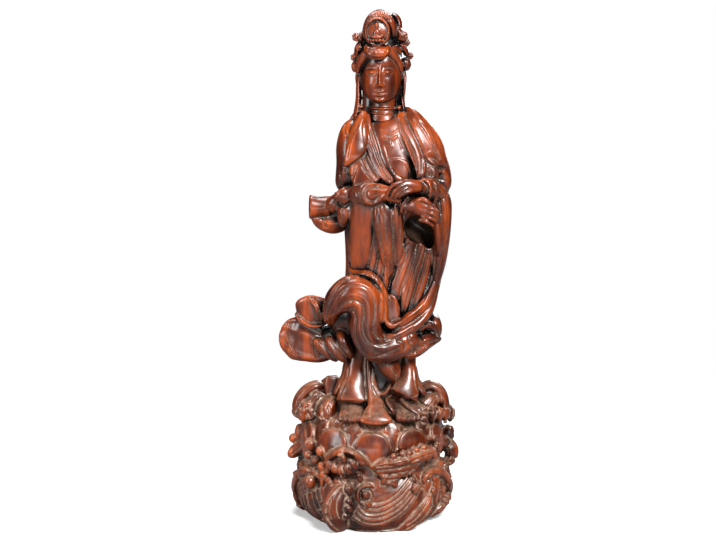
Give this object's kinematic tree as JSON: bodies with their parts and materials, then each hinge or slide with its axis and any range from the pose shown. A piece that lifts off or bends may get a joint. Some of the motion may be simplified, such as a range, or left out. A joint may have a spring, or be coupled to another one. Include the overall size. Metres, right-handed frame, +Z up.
{
  "type": "carved guanyin figure on a lotus and wave plinth",
  "caption": "Standing guanyin in wind-blown robes on a lotus that rises out of waves, carved as one piece of dark reddish hardwood with a flat underside.",
  "frame": {"origin": "middle of the plinth's flat underside", "axes": "+Z up the figure, which faces -Y, with +X to a viewer's right"},
  "size_m": [0.1803, 0.1488, 0.5001],
  "materials": {
    "carved_wood": "glossy lacquered rosewood with pale dust in the recesses"
  },
  "bodies": {
    "root": {"guanyin": "carved_wood"}
  },
  "joints": []
}
